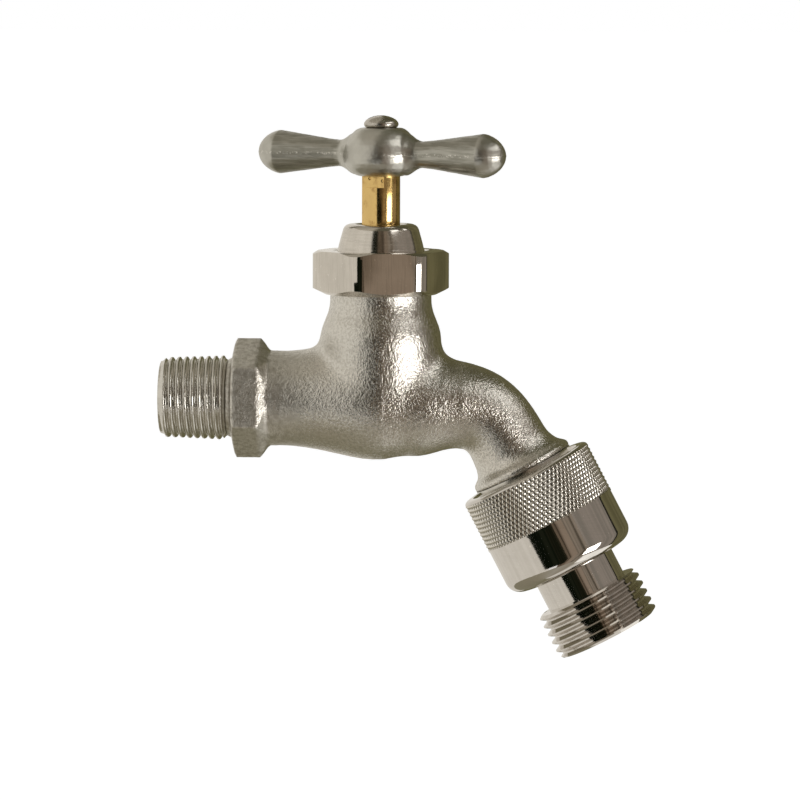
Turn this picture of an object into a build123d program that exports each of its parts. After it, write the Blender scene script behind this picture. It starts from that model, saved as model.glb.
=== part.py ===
from build123d import *
from math import cos, floor, radians, sin, sqrt
import os

# Hose bibb with a vacuum breaker on its spout, in millimetres.
# Origin: centre of the inlet's end face. +X: into the valve. +Z: up the stem. -Y: the front.

# Clearances
running_gap = 0.05
sliding_gap = 0.3
thread_gap = 0.13
seating_gap = 0.1

# Inlet: taper pipe thread, wrench hexagon and tube
pipe_pitch = 25.4 / 14
pipe_taper = 1 / 16
pipe_end_diameter = 20.6
pipe_thread_depth = 1.35
pipe_thread_flat = 0.15
pipe_thread_length = 16.3
pipe_relief_length = 1.0
inlet_bore_diameter = 14.2
inlet_bore_depth = 26.0
inlet_hex_across_flats = 25.4
inlet_hex_length = 9.3
inlet_hex_draft_length = 1.4
inlet_hex_bevel_length = 1.9
inlet_hex_face_diameter = 24.0
tube_diameter = 23.5

# Casting: belly along the inlet axis, barrel and neck up the stem axis
stem_axis_x = 54.5
belly_diameter = 30.2
tube_length = 4.4
belly_tail_length = 19.3
belly_end_diameter = 19.4
barrel_diameter = 30.0
shoulder_length = 9.4
neck_diameter = 25.0
neck_bare_length = 1.6
neck_top_height = 31.4
junction_radius = 3.0

# Water way
seat_bore_diameter = 12.0
seat_ring_diameter = 15.2
seat_height = 4.0
seat_ring_height = 1.0
chamber_gap = 1.35
lower_chamber_diameter = 14.4
lower_chamber_height = -5.2
inlet_passage_diameter = 10.4
outlet_passage_diameter = 11.2
outlet_passage_bend = 5.0
spout_wall_above = 6.0

# Spout: centre line of the casting, and the hose thread under the collar
breaker_tilt = 27.6
spout_reach = 35.7
breaker_top_height = -17.8
spout_root_reach = 8.0
spout_root_drop = 0.2
spout_root_fall = 5.0
spout_root_diameter = 26.8
spout_knee_back = 17.2
spout_knee_rise = 15.7
spout_knee_fall = 21.0
spout_knee_diameter = 23.6
spout_bend_back = 8.3
spout_bend_rise = 13.0
spout_bend_fall = 42.0
spout_bend_diameter = 19.9
spout_end_diameter = 20.0
spout_end_length = 4.2
spout_end_offset = 0.4
spout_lip_diameter = 25.7
spout_lip_thickness = 1.2
spout_lip_standoff = 0.8
hose_thread_major = 26.9
hose_thread_engaged = 8.8
hose_relief_diameter = 24.0
spout_bore_diameter = 15.0
spout_bore_depth = 8.0

# Bonnet nut
nut_wall = 2.62
nut_skirt = 5.4
nut_height = 10.7
nut_lip_thickness = 2.0
nut_corner_radius = 2.5
nut_bottom_chamfer_width = 3.9
nut_bottom_chamfer_height = 1.9
nut_top_chamfer_width = 2.0
nut_top_chamfer_height = 1.2
nut_turn = 11.0

# Bonnet and its gasket
gasket_thickness = 1.2
gasket_inset = 0.35
bonnet_base_diameter = 21.5
bonnet_top_diameter = 18.9
bonnet_standing_height = 6.5
bonnet_edge_radius = 1.0
bonnet_end_gap = 0.45
bonnet_shoulder_gap = 0.25
bonnet_relief_length = 2.6

# Stem
stem_diameter = 9.4
stem_pitch = 2.54
stem_thread_step = 0.6
stem_thread_depth = 1.25
stem_thread_crest = 0.95
stem_thread_standoff = 1.8
stem_thread_length = 11.0
stem_turns_open = 2.5
stem_bare_length = 9.4
drive_square = 7.4
drive_length = 11.9
foot_diameter = 8.4
foot_thickness = 1.6
foot_neck_diameter = 5.0
o_ring_section = 1.1
o_ring_places = (1.6, 4.6)

# Swivel washer holder, seat washer and its screw
washer_diameter = 15.0
washer_thickness = 2.6
holder_wall = 0.8
holder_rim_overlap = 1.4
holder_plate = 1.4
holder_neck_height = 3.2
holder_boss_diameter = 13.2
washer_screw_diameter = 4.0
washer_screw_head_diameter = 6.4
washer_screw_head_height = 1.6
screw_slot_width = 0.9

# Handle and its screw
handle_turn = -22.0
handle_hub_diameter = 18.6
handle_standoff = 2.4
handle_hub_height = 11.9
handle_hub_middle = 4.6
handle_hub_top_radius = 0.8
handle_hub_bottom_radius = 2.0
handle_arm_rise = 5.5
handle_span = 66.8
handle_end_diameter = 10.7
handle_neck_diameter = 6.3
handle_neck_reach = 10.3
handle_screw_diameter = 4.0
handle_screw_depth = 12.0
handle_screw_head_diameter = 8.6
handle_screw_head_height = 3.1
handle_screw_rim = 0.9

# Vacuum breaker, measured down its own axis from the collar's top face
collar_diameter = 34.0
collar_length = 13.6
collar_edge_radius = 1.2
collar_mouth_chamfer = 0.8
collar_web_top = 11.0
collar_web_bottom = 13.2
collar_port_diameter = 12.5
spigot_diameter = 29.2
spigot_bore_diameter = 27.0
spigot_length = 3.7
cup_diameter = 33.6
cup_end = 26.0
cup_corner_radius = 3.5
cup_floor = 22.5
cup_step = 18.5
outlet_neck_diameter = 20.6
outlet_thread_start = 33.5
outlet_end = 45.1
outlet_chamfer = 0.8
outlet_bore_diameter = 18.0
outlet_bore_start = 38.0
hose_pitch = 25.4 / 11.5
hose_thread_depth = 1.3
hose_thread_flat = 0.35
check_bore_diameter = 15.0
check_shelf_bore = 13.2
vent_count = 8
vent_diameter = 2.0
vent_circle = 24.4
locking_screw_diameter = 4.0
locking_screw_place = 4.6

# Checks inside the breaker
upper_travel = 2.3
upper_disc_diameter = 17.0
upper_seal_thickness = 1.4
upper_disc_thickness = 1.4
upper_ring_bore = 20.8
upper_ring_thickness = 1.4
upper_rib_width = 2.0
upper_rib_count = 4
vent_seal_thickness = 1.0
upper_spring_diameter = 12.6
upper_wire = 0.7
upper_spring_turns = 3
check_seat_flange_diameter = 19.0
check_seat_flange_thickness = 1.2
check_seat_bore = 9.0
check_seat_end = 26.0
lower_disc_diameter = 12.0
lower_seal_thickness = 1.0
lower_disc_thickness = 1.6
lower_stem_diameter = 4.0
lower_travel = 2.5
lower_spring_closed = 2.9
lower_spring_diameter = 8.8
lower_wire = 0.6
lower_spring_turns = 4
guide_thickness = 2.5
guide_rim = 1.0
guide_hub_diameter = 6.6
guide_arm_width = 1.6
guide_arms = 3
nub_diameter = 3.0

# Places that follow from the sizes above
UP = (Align.CENTER, Align.CENTER, Align.MIN)
TO_BACK = (Align.CENTER, Align.MIN, Align.MIN)
TO_RIGHT = Rot(0, 90, 0)
tilt = radians(breaker_tilt)
breaker_direction = Vector(sin(tilt), 0, -cos(tilt))
breaker_top_x = stem_axis_x + spout_reach
breaker = Plane(
    origin=(breaker_top_x, 0, breaker_top_height),
    x_dir=(cos(tilt), 0, sin(tilt)),
    z_dir=breaker_direction,
).location
stem_axis = Pos(stem_axis_x, 0, 0)
hex_start = pipe_thread_length + pipe_relief_length
hex_end = hex_start + inlet_hex_length
nut_across_flats = neck_diameter + 2 * (thread_gap + nut_wall)
nut_bottom_height = neck_top_height - nut_skirt
nut_top_height = nut_bottom_height + nut_height
neck_start_height = nut_bottom_height - neck_bare_length
barrel_shoulder_height = neck_start_height - shoulder_length
chamber_diameter = washer_diameter + 2 * (seating_gap + holder_wall + chamber_gap)
flange_bottom = neck_top_height + gasket_thickness
flange_top = nut_top_height - nut_lip_thickness
washer_top = seat_height + washer_thickness
plate_top = washer_top + holder_plate
foot_bottom = plate_top + seating_gap
neck_bottom = foot_bottom + foot_thickness
holder_top = plate_top + holder_neck_height
stem_shoulder = holder_top + 2 * seating_gap
stem_travel = stem_turns_open * stem_pitch
stem_thread_root = stem_diameter + stem_thread_step
stem_thread_bottom = holder_top + stem_thread_standoff
stem_thread_top = stem_thread_bottom + stem_thread_length
bonnet_bottom_height = holder_top + stem_travel + bonnet_end_gap
bonnet_shoulder_height = stem_thread_top + stem_travel + bonnet_shoulder_gap
bonnet_top_height = nut_top_height + bonnet_standing_height
o_ring_heights = [bonnet_shoulder_height + place for place in o_ring_places]
drive_bottom_height = bonnet_top_height + stem_bare_length
drive_top_height = drive_bottom_height + drive_length
handle_hub_bottom = drive_bottom_height + handle_standoff
spring_seat = cup_floor - check_seat_flange_thickness
upper_disc_top = collar_web_bottom + upper_seal_thickness
upper_disc_bottom = upper_disc_top + upper_disc_thickness
vent_seal_top = cup_floor - upper_travel - vent_seal_thickness
lower_disc_top = check_seat_end + lower_seal_thickness
lower_disc_bottom = lower_disc_top + lower_disc_thickness
guide_top = lower_disc_bottom + lower_travel + lower_spring_closed
check_shelf = guide_top + guide_thickness


def post(diameter, bottom, top):
    """Round post about Z between two heights."""
    return Pos(0, 0, bottom) * Cylinder(diameter / 2, top - bottom, align=UP)


def tube(outer, inner, bottom, top):
    """Ring or sleeve about Z between two heights."""
    return post(outer, bottom, top) - post(inner, bottom - 1, top + 1)


def turned(points):
    """Solid of revolution about Z from (radius, height) points."""
    corners = [(radius, 0, height) for radius, height in points]
    return revolve(make_face(Polyline(*corners, close=True)), Axis.Z)


def hexagon(across_flats, bottom, top, turn):
    """Hexagon prism, with a corner towards +X before the turn."""
    outline = RegularPolygon(across_flats / sqrt(3), 6)
    return Pos(0, 0, bottom) * Rot(0, 0, turn) * extrude(outline, top - bottom)


def numbers_over(bottom, top, pitch):
    """Numbers of the turns that together reach past both heights."""
    return range(floor(bottom / pitch) - 1, floor(top / pitch) + 2)


def thread_turns(root, depth, pitch, bottom, numbers, crest, base, slope=0.0):
    """Right-hand helical ridge, one turn at a time, for a core of the given root diameter.

    Turn 0 starts at Z = 0 on the +X side. The flanks run a little past the core and the
    crest, and on a taper, whose root is measured at the bottom, each turn steps outwards.
    """
    over = 0.1
    flank = (base - crest) / 2 / depth
    turns = []
    for number in numbers:
        start = number * pitch
        radius = root / 2 + slope * (start - bottom + pitch / 2)
        helix = Helix(pitch, pitch, radius, center=(0, 0, start))
        foot = radius - over
        tip = radius + depth + over
        outline = Polyline(
            (foot, 0, start - base / 2 - over * flank),
            (tip, 0, start - crest / 2 + over * flank),
            (tip, 0, start + crest / 2 - over * flank),
            (foot, 0, start + base / 2 + over * flank),
            close=True,
        )
        turns.append(sweep(make_face(outline), path=helix, is_frenet=True))
    return turns


def threaded(core, turns, crests):
    """Core with the ridge's turns added as far as the crests' envelope."""
    for turn in turns:
        trimmed = turn & crests
        if trimmed and trimmed.volume > 0.001:
            core = core + trimmed
    return core


def coil(mean_diameter, wire, bottom, top, turns):
    """Compression spring of round wire between two heights."""
    rise = top - bottom - wire
    helix = Helix(rise / turns, rise, mean_diameter / 2, center=(0, 0, bottom + wire / 2))
    section = Plane(origin=helix @ 0, z_dir=helix % 0) * Circle(wire / 2)
    return sweep(section, path=helix, is_frenet=True)


def inlet_end():
    """Taper pipe thread and wrench hexagon, along +X from the origin."""
    slope = pipe_taper / 2
    end_radius = pipe_end_diameter / 2
    growth = slope * pipe_thread_length
    root = pipe_end_diameter - 2 * pipe_thread_depth
    ridge = thread_turns(
        root,
        pipe_thread_depth,
        pipe_pitch,
        0,
        numbers_over(0, pipe_thread_length, pipe_pitch),
        pipe_thread_flat,
        pipe_pitch - pipe_thread_flat,
        slope,
    )
    crests = turned(
        [
            (0, 0.3),
            (root / 2 - 0.15, 0.3),
            (end_radius + slope * 2, 1.8 + slope * 2),
            (end_radius + growth, pipe_thread_length - 0.3),
            (0, pipe_thread_length - 0.3),
        ]
    )
    core = Cone(root / 2, root / 2 + growth, pipe_thread_length, align=UP)
    relief = post(root + 2 * growth, pipe_thread_length, hex_start)
    corner = inlet_hex_across_flats / sqrt(3)
    face = inlet_hex_face_diameter / 2
    lens = turned(
        [
            (0, hex_start),
            (face, hex_start),
            (corner, hex_start + inlet_hex_draft_length),
            (corner, hex_end - inlet_hex_bevel_length),
            (face, hex_end),
            (0, hex_end),
        ]
    )
    wrench = hexagon(inlet_hex_across_flats, hex_start, hex_end, 0) & lens
    return TO_RIGHT * (threaded(core, ridge, crests) + relief + wrench)


def belly():
    """Swelling tube along the inlet axis."""
    belly_start = hex_end + tube_length
    belly_end = stem_axis_x + belly_tail_length
    tube_radius = tube_diameter / 2
    belly_radius = belly_diameter / 2
    top_line = Spline(
        (belly_start, 0, tube_radius),
        (stem_axis_x, 0, belly_radius),
        (belly_end, 0, belly_end_diameter / 2),
        tangents=((1, 0, 0.05), (1, 0, -0.3)),
    )
    rim = Polyline(
        (belly_end, 0, belly_end_diameter / 2),
        (belly_end, 0, 0),
        (hex_end - 0.5, 0, 0),
        (hex_end - 0.5, 0, tube_radius),
        (belly_start, 0, tube_radius),
    )
    return revolve(make_face(Wire(list(top_line.edges()) + list(rim.edges()))), Axis.X)


def barrel():
    """Upright barrel that draws in to the neck."""
    barrel_radius = barrel_diameter / 2
    neck_radius = neck_diameter / 2
    shoulder = Spline(
        (barrel_radius, 0, barrel_shoulder_height),
        (neck_radius, 0, neck_start_height),
        tangents=((0, 0, 1), (0, 0, 1)),
    )
    rest = Polyline(
        (neck_radius, 0, neck_start_height),
        (neck_radius, 0, neck_top_height),
        (0, 0, neck_top_height),
        (0, 0, 0),
        (barrel_radius, 0, 0),
        (barrel_radius, 0, barrel_shoulder_height),
    )
    outline = make_face(Wire(list(shoulder.edges()) + list(rest.edges())))
    return stem_axis * revolve(outline, Axis.Z)


def spout_section(x, z, fall, diameter):
    """Round section of the spout, square to a direction that falls below +X."""
    direction = (cos(radians(fall)), 0, -sin(radians(fall)))
    return Plane(origin=(x, 0, z), x_dir=(0, 1, 0), z_dir=direction) * Circle(diameter / 2)


def spout():
    """Bent spout, its lip, and the plain cylinder that stands for its hose thread."""
    lip_top = -spout_lip_standoff - spout_lip_thickness
    end_bottom = lip_top + 0.2
    end = (breaker * Pos(0, 0, end_bottom)).position
    above = (breaker * Pos(-spout_end_offset, 0, end_bottom - spout_end_length)).position
    knee = (breaker_top_x - spout_knee_back, breaker_top_height + spout_knee_rise)
    bend = (breaker_top_x - spout_bend_back, breaker_top_height + spout_bend_rise)
    sections = [
        spout_section(
            stem_axis_x + spout_root_reach, -spout_root_drop, spout_root_fall, spout_root_diameter
        ),
        spout_section(*knee, spout_knee_fall, spout_knee_diameter),
        spout_section(*bend, spout_bend_fall, spout_bend_diameter),
        spout_section(above.X, above.Z, 90 - breaker_tilt, spout_end_diameter),
        spout_section(end.X, end.Z, 90 - breaker_tilt, spout_end_diameter),
    ]
    lip = post(spout_lip_diameter, lip_top, -spout_lip_standoff)
    relief = post(hose_relief_diameter, -spout_lip_standoff, 0.5)
    threaded = post(hose_thread_major, 0.5, hose_thread_engaged)
    threaded = chamfer(threaded.edges().sort_by(Axis.Z)[-1], outlet_chamfer)
    return loft(sections) + breaker * (lip + relief + threaded)


def water_way():
    """Inlet bore, chambers under and over the seat, and the passage down the spout."""
    bore = TO_RIGHT * post(inlet_bore_diameter, -1, inlet_bore_depth)
    elbow = Pos(inlet_bore_depth, 0, 0) * Sphere(inlet_bore_diameter / 2)
    start = Vector(inlet_bore_depth, 0, 0)
    drop = Vector(stem_axis_x, 0, lower_chamber_height - 1.3) - start
    slope = Plane(origin=start, x_dir=(0, 1, 0), z_dir=drop).location
    passage = slope * post(inlet_passage_diameter, 0, drop.length)
    under = Pos(stem_axis_x, 0, lower_chamber_height) * Sphere(lower_chamber_diameter / 2)
    seat_base = seat_height - seat_ring_height
    orifice = post(seat_bore_diameter, lower_chamber_height, seat_height + 1)
    over = post(chamber_diameter, seat_base, neck_top_height + 1)
    over = over - post(seat_ring_diameter, seat_base - 1, seat_height)
    near = (breaker * Pos(0, 0, -9.5)).position
    far = (breaker * Pos(0, 0, hose_thread_engaged + 1)).position
    chamber_side = stem_axis_x + lower_chamber_diameter / 5
    chamber_middle = seat_height + outlet_passage_diameter / 2
    knee = breaker_top_x - spout_knee_back - 2.5
    knee_height = breaker_top_height + spout_knee_rise + spout_wall_above
    bend = breaker_top_x - spout_bend_back - 1.7
    bend_height = breaker_top_height + spout_bend_rise + 2.0
    route = FilletPolyline(
        (chamber_side, 0, chamber_middle),
        (knee, 0, knee_height),
        (bend, 0, bend_height),
        (near.X, 0, near.Z),
        (far.X, 0, far.Z),
        radius=outlet_passage_bend,
    )
    mouth = Plane(origin=route @ 0, z_dir=route % 0) * Circle(outlet_passage_diameter / 2)
    down = sweep(mouth, path=route)
    end_bore = post(
        spout_bore_diameter,
        hose_thread_engaged - spout_bore_depth,
        hose_thread_engaged + 1,
    )
    return [bore, elbow, passage, under, stem_axis * orifice, stem_axis * over, down, breaker * end_bore]


def valve_body():
    """The casting in one piece with its inlet thread, seat and spout."""
    trunk = belly() + barrel()
    curves = trunk.edges().filter_by(GeomType.BSPLINE)
    corner = [edge for edge in curves if edge.bounding_box().size.X > 0.9 * barrel_diameter]
    trunk = fillet(corner, junction_radius)
    body = trunk + spout() + inlet_end()
    for hollow in water_way():
        body = body - hollow
    return body


def bonnet_nut():
    """Hexagon cap nut with rounded corners, chamfered more at its bottom."""
    outline = fillet(RegularPolygon(nut_across_flats / sqrt(3), 6).vertices(), nut_corner_radius)
    prism = extrude(outline, nut_top_height - nut_bottom_height)
    prism = Pos(0, 0, nut_bottom_height) * Rot(0, 0, nut_turn) * prism
    corner = nut_across_flats / sqrt(3)
    lens = turned(
        [
            (0, nut_bottom_height),
            (corner - nut_bottom_chamfer_width, nut_bottom_height),
            (corner, nut_bottom_height + nut_bottom_chamfer_height),
            (corner, nut_top_height - nut_top_chamfer_height),
            (corner - nut_top_chamfer_width, nut_top_height),
            (0, nut_top_height),
        ]
    )
    socket = post(neck_diameter + 2 * thread_gap, nut_bottom_height - 1, flange_top)
    mouth = post(bonnet_base_diameter + 2 * seating_gap, flange_top - 1, nut_top_height + 1)
    return stem_axis * ((prism & lens) - socket - mouth)


def bonnet_gasket():
    """Fibre ring between the neck and the bonnet's flange."""
    outer = neck_diameter - 2 * gasket_inset
    return stem_axis * tube(outer, chamber_diameter, neck_top_height, flange_bottom)


def bonnet():
    """Turned bonnet: tapered top, flange under the nut, and barrel with the stem's thread."""
    barrel_radius = chamber_diameter / 2 - 0.15
    base = bonnet_base_diameter / 2
    top = bonnet_top_diameter / 2
    blank = turned(
        [
            (0, bonnet_bottom_height),
            (barrel_radius, bonnet_bottom_height),
            (barrel_radius, flange_bottom),
            (neck_diameter / 2, flange_bottom),
            (neck_diameter / 2, flange_top),
            (base, flange_top),
            (base, nut_top_height + 0.2),
            (top, bonnet_top_height),
            (0, bonnet_top_height),
        ]
    )
    rim = blank.edges().filter_by(GeomType.CIRCLE).sort_by(Axis.Z)[-1]
    blank = fillet(rim, bonnet_edge_radius)
    seal_bore = post(stem_diameter + 2 * running_gap, bonnet_shoulder_height, bonnet_top_height + 1)
    minor = post(stem_thread_root + 2 * thread_gap, bonnet_bottom_height - 1, bonnet_shoulder_height)
    relief_diameter = stem_thread_root + 2 * stem_thread_depth + 4 * thread_gap
    relief = post(relief_diameter, bonnet_shoulder_height - bonnet_relief_length, bonnet_shoulder_height)
    body = blank - seal_bore - minor - relief
    groove_top = bonnet_shoulder_height - bonnet_relief_length + 0.2
    first = floor(bonnet_bottom_height / stem_pitch) - 1
    last = floor(groove_top / stem_pitch) + 1
    envelope = post(relief_diameter + 2, bonnet_bottom_height - stem_pitch, groove_top)
    grooves = thread_turns(
        stem_thread_root + 2 * thread_gap,
        stem_thread_depth,
        stem_pitch,
        bonnet_bottom_height,
        range(first, last + 1),
        stem_thread_crest + 2 * thread_gap,
        stem_pitch - stem_thread_crest + 2 * thread_gap,
    )
    for groove in grooves:
        body = body - (groove & envelope)
    return stem_axis * body


def stem():
    """Brass stem: foot, lead thread, O-ring grooves and square drive."""
    shank = turned(
        [
            (0, foot_bottom),
            (foot_diameter / 2, foot_bottom),
            (foot_diameter / 2, neck_bottom),
            (foot_neck_diameter / 2, neck_bottom),
            (foot_neck_diameter / 2, stem_shoulder),
            (stem_diameter / 2, stem_shoulder),
            (stem_diameter / 2, drive_bottom_height),
            (0, drive_bottom_height),
        ]
    )
    drive = Pos(0, 0, drive_bottom_height) * Rot(0, 0, handle_turn) * Box(
        drive_square, drive_square, drive_top_height - drive_bottom_height, align=UP
    )
    drive = drive & post(stem_diameter, drive_bottom_height, drive_top_height)
    core = post(stem_thread_root, stem_thread_bottom, stem_thread_top)
    ridge = thread_turns(
        stem_thread_root,
        stem_thread_depth,
        stem_pitch,
        stem_thread_bottom,
        numbers_over(stem_thread_bottom, stem_thread_top, stem_pitch),
        stem_thread_crest,
        stem_pitch - stem_thread_crest,
    )
    major = stem_thread_root + 2 * stem_thread_depth
    crests = post(major, stem_thread_bottom, stem_thread_top)
    crests = chamfer(crests.edges().filter_by(GeomType.CIRCLE), stem_thread_depth * 0.9)
    body = threaded(core, ridge, crests) + shank + drive
    groove_floor = stem_diameter - 2 * o_ring_section
    groove_height = 1.6 * o_ring_section
    for height in o_ring_heights:
        ring = tube(
            stem_diameter + 2,
            groove_floor,
            height - groove_height / 2,
            height + groove_height / 2,
        )
        body = body - ring
    hole = post(
        handle_screw_diameter + 2 * running_gap,
        drive_top_height - handle_screw_depth,
        drive_top_height + 1,
    )
    return stem_axis * (body - hole)


def stem_o_ring():
    """Two O-rings in the stem's grooves."""
    middle = (stem_diameter - o_ring_section) / 2
    rings = [
        stem_axis * Pos(0, 0, height) * Torus(middle, o_ring_section / 2 - 0.01)
        for height in o_ring_heights
    ]
    return Compound(rings)


def washer_holder():
    """Swivel cup, open to the back so that it slips sideways on to the stem's foot."""
    outer = washer_diameter + 2 * seating_gap + 2 * holder_wall
    cup = post(outer, washer_top - holder_rim_overlap, plate_top)
    cup = cup - post(washer_diameter + 2 * seating_gap, 0, washer_top)
    boss = post(holder_boss_diameter, plate_top, holder_top)
    foot_space = foot_diameter + 2 * seating_gap
    neck_space = foot_neck_diameter + 2 * seating_gap
    slot_top = neck_bottom + seating_gap
    slot = post(foot_space, plate_top, slot_top)
    slot = slot + Pos(0, 0, plate_top) * Box(
        foot_space, holder_boss_diameter, slot_top - plate_top, align=TO_BACK
    )
    gate = post(neck_space, plate_top, holder_top + 1)
    gate = gate + Pos(0, 0, plate_top) * Box(
        neck_space, holder_boss_diameter, holder_top + 1 - plate_top, align=TO_BACK
    )
    hole = post(washer_screw_diameter + 2 * running_gap, 0, plate_top + 0.01)
    return stem_axis * (cup + boss - slot - gate - hole)


def seat_washer():
    """Rubber disc that closes on the seat."""
    hole = washer_screw_diameter + 2 * seating_gap
    return stem_axis * tube(washer_diameter, hole, seat_height, washer_top)


def seat_washer_screw():
    """Slotted screw through the washer into the holder."""
    head_bottom = seat_height - washer_screw_head_height
    head = post(washer_screw_head_diameter, head_bottom, seat_height)
    head = chamfer(head.edges().sort_by(Axis.Z)[0], 0.4)
    slot = Pos(0, 0, head_bottom) * Box(
        washer_screw_head_diameter + 1, screw_slot_width, washer_screw_head_height, align=(Align.CENTER,) * 3
    )
    return stem_axis * (head - slot + post(washer_screw_diameter, seat_height, plate_top - seating_gap))


def handle():
    """T handle: two clubs that swell towards round ends, on a hub flat above and below."""
    neck = handle_neck_diameter / 2
    end = handle_end_diameter / 2
    reach = handle_span / 2
    centre = reach - end
    club = Spline(
        (handle_neck_reach, 0, neck),
        (centre, 0, end),
        tangents=((1, 0, 0.05), (1, 0, 0)),
    )
    tip = ThreePointArc(
        (centre, 0, end),
        (centre + end * sin(radians(45)), 0, end * cos(radians(45))),
        (reach, 0, 0),
    )
    rest = Polyline((reach, 0, 0), (0, 0, 0), (0, 0, neck), (handle_neck_reach, 0, neck))
    arm = revolve(make_face(Wire(list(club.edges()) + list(tip.edges()) + list(rest.edges()))), Axis.X)
    hub = Pos(0, 0, handle_hub_bottom + handle_hub_middle) * Sphere(handle_hub_diameter / 2)
    hub = hub & post(handle_hub_diameter + 2, handle_hub_bottom, handle_hub_bottom + handle_hub_height)
    rims = hub.edges().filter_by(GeomType.CIRCLE).sort_by(Axis.Z)
    hub = fillet(rims[0], handle_hub_bottom_radius)
    rims = hub.edges().filter_by(GeomType.CIRCLE).sort_by(Axis.Z)
    hub = fillet(rims[-1], handle_hub_top_radius)
    arms = Pos(0, 0, handle_hub_bottom + handle_arm_rise) * (arm + Rot(0, 0, 180) * arm)
    socket = Pos(0, 0, handle_hub_bottom - 1) * Box(
        drive_square + 2 * seating_gap,
        drive_square + 2 * seating_gap,
        drive_top_height + 0.2 - handle_hub_bottom + 1,
        align=UP,
    )
    hole = post(handle_screw_diameter + 2 * seating_gap, handle_hub_bottom, handle_hub_bottom + 20)
    return stem_axis * Rot(0, 0, handle_turn) * (hub + arms - socket - hole)


def handle_screw():
    """Domed screw that holds the handle on the stem."""
    hub_top = handle_hub_bottom + handle_hub_height
    head_top = hub_top + handle_screw_head_height
    rise = handle_screw_head_height - handle_screw_rim
    radius = handle_screw_head_diameter / 2
    dome_radius = (radius ** 2 + rise ** 2) / (2 * rise)
    head = post(handle_screw_head_diameter, hub_top, head_top)
    head = head & Pos(0, 0, head_top - dome_radius) * Sphere(dome_radius)
    shank_bottom = drive_top_height - handle_screw_depth + 1
    return stem_axis * (head + post(handle_screw_diameter, shank_bottom, hub_top))


def breaker_collar():
    """Collar with the hose thread's hole, a web with the first seat, and a spigot."""
    blank = post(collar_diameter, 0, collar_length)
    blank = fillet(blank.edges().sort_by(Axis.Z)[0], collar_edge_radius)
    spigot = post(spigot_diameter, collar_length, collar_length + spigot_length)
    socket = post(hose_thread_major + 2 * thread_gap, -1, collar_web_top)
    mouth = Cone(
        hose_thread_major / 2 + collar_mouth_chamfer + thread_gap,
        hose_thread_major / 2 + thread_gap,
        collar_mouth_chamfer,
        align=UP,
    )
    port = post(collar_port_diameter, 0, collar_web_bottom + 1)
    under = post(spigot_bore_diameter, collar_web_bottom, collar_length + spigot_length + 1)
    side = Pos(0, 0, locking_screw_place) * Rot(90, 0, 0)
    hole = side * Cylinder(locking_screw_diameter / 2 + running_gap, collar_diameter, align=UP)
    return breaker * (blank + spigot - socket - mouth - port - under - hole)


def locking_screw():
    """Headless screw, its head sheared off flush with the collar."""
    inner = hose_thread_major / 2 + running_gap
    outer = collar_diameter / 2 - 0.2
    side = Pos(0, 0, locking_screw_place) * Rot(90, 0, 0) * Pos(0, 0, inner)
    return breaker * side * Cylinder(locking_screw_diameter / 2, outer - inner, align=UP)


def spout_washer():
    """Hose washer between the spout's end and the collar's web."""
    return breaker * tube(hose_thread_major - 1, spout_bore_diameter, hose_thread_engaged, collar_web_top)


def breaker_outlet():
    """Cup, neck and male hose thread in one piece."""
    cup = post(cup_diameter, collar_length, cup_end)
    cup = fillet(cup.edges().sort_by(Axis.Z)[-1], cup_corner_radius)
    neck = post(outlet_neck_diameter, cup_end - 1, outlet_thread_start + 1)
    root = hose_thread_major - 2 * hose_thread_depth
    core = post(root, outlet_thread_start, outlet_end)
    core = chamfer(core.edges().sort_by(Axis.Z)[-1], 0.3)
    ridge = thread_turns(
        root,
        hose_thread_depth,
        hose_pitch,
        outlet_thread_start,
        numbers_over(outlet_thread_start, outlet_end, hose_pitch),
        hose_thread_flat,
        hose_pitch - hose_thread_flat,
    )
    crests = post(hose_thread_major, outlet_thread_start, outlet_end)
    crests = chamfer(crests.edges().filter_by(GeomType.CIRCLE), outlet_chamfer)
    body = threaded(core, ridge, crests) + cup + neck
    hollows = [
        post(spigot_diameter + 2 * running_gap, collar_length - 1, cup_step),
        post(spigot_bore_diameter, cup_step - 1, cup_floor),
        post(check_bore_diameter, cup_floor - 1, check_shelf),
        post(check_shelf_bore, check_shelf - 1, outlet_bore_start + 1),
        post(outlet_bore_diameter, outlet_bore_start, outlet_end + 1),
    ]
    for hollow in hollows:
        body = body - hollow
    vent = post(vent_diameter, cup_floor - 1, cup_end + 1)
    return breaker * (body - PolarLocations(vent_circle / 2, vent_count) * vent)


def breaker_o_ring():
    """O-ring between the spigot's end and the step in the cup."""
    section = (spigot_diameter - spigot_bore_diameter) / 2
    place = (collar_length + spigot_length + cup_step) / 2
    return breaker * Pos(0, 0, place) * Torus((spigot_diameter - section) / 2, section / 2 - 0.01)


def upper_poppet():
    """First check: disc, four ribs, and the ring that carries the vent seal."""
    outer = spigot_bore_diameter - 2 * sliding_gap
    disc = post(upper_disc_diameter, upper_disc_top, upper_disc_bottom)
    nub = post(nub_diameter, collar_web_bottom + 0.2, upper_disc_top)
    ring = tube(outer, upper_ring_bore, vent_seal_top - upper_ring_thickness, vent_seal_top)
    inner_reach = upper_spring_diameter / 2 + upper_wire
    rib_bottom = spring_seat - upper_travel - sliding_gap
    rib = Pos(inner_reach, 0, upper_disc_top) * Box(
        outer / 2 - inner_reach - sliding_gap,
        upper_rib_width,
        rib_bottom - upper_disc_top,
        align=(Align.MIN, Align.CENTER, Align.MIN),
    )
    ribs = PolarLocations(0, upper_rib_count) * rib
    return breaker * (disc + nub + ring + ribs)


def upper_poppet_seal():
    """Rubber face of the first check."""
    hole = nub_diameter + 2 * running_gap
    return breaker * tube(upper_disc_diameter, hole, collar_web_bottom, upper_disc_top)


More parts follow.
